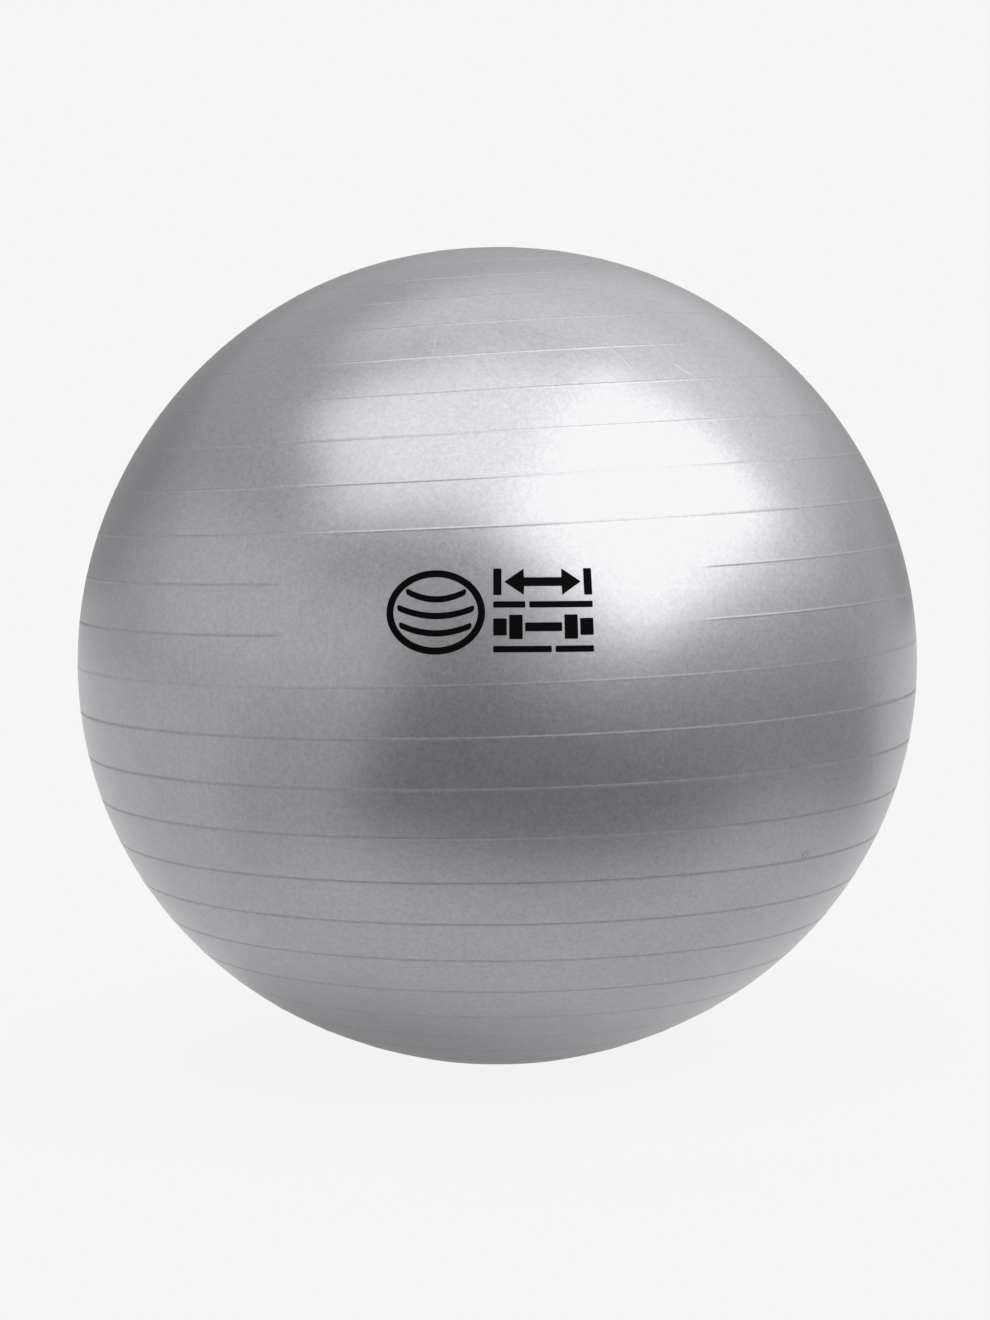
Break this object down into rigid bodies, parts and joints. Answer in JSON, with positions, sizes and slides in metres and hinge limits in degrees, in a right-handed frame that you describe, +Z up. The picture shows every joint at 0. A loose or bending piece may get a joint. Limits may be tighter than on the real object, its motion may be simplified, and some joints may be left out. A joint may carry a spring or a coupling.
{
  "type": "exercise ball",
  "caption": "Inflated exercise ball with fine raised ribs round it, a flush valve at the top and a pull-out air plug.",
  "frame": {"origin": "centre of the flat patch on which the ball rests", "axes": "+Z up along the valve's axis, through the ball's poles; -Y towards the printed mark on the front"},
  "size_m": [0.7498, 0.7498, 0.7282],
  "materials": {
    "skin_pvc": "silver-grey pearlescent soft PVC, semi-gloss, with a fine grain",
    "valve_pvc": "silver-grey soft PVC, satin",
    "plug_plastic": "white moulded polyethylene, satin",
    "print_ink": "black printed ink on the skin, satin"
  },
  "bodies": {
    "ball": {"ball_skin": "skin_pvc", "valve_body": "valve_pvc"},
    "plug": {"air_plug": "plug_plastic"}
  },
  "joints": [
    {"name": "plug_pull", "type": "slide", "parent": "ball", "child": "plug", "axis": [0, 0, 1], "range_m": [0, 0.04]}
  ]
}
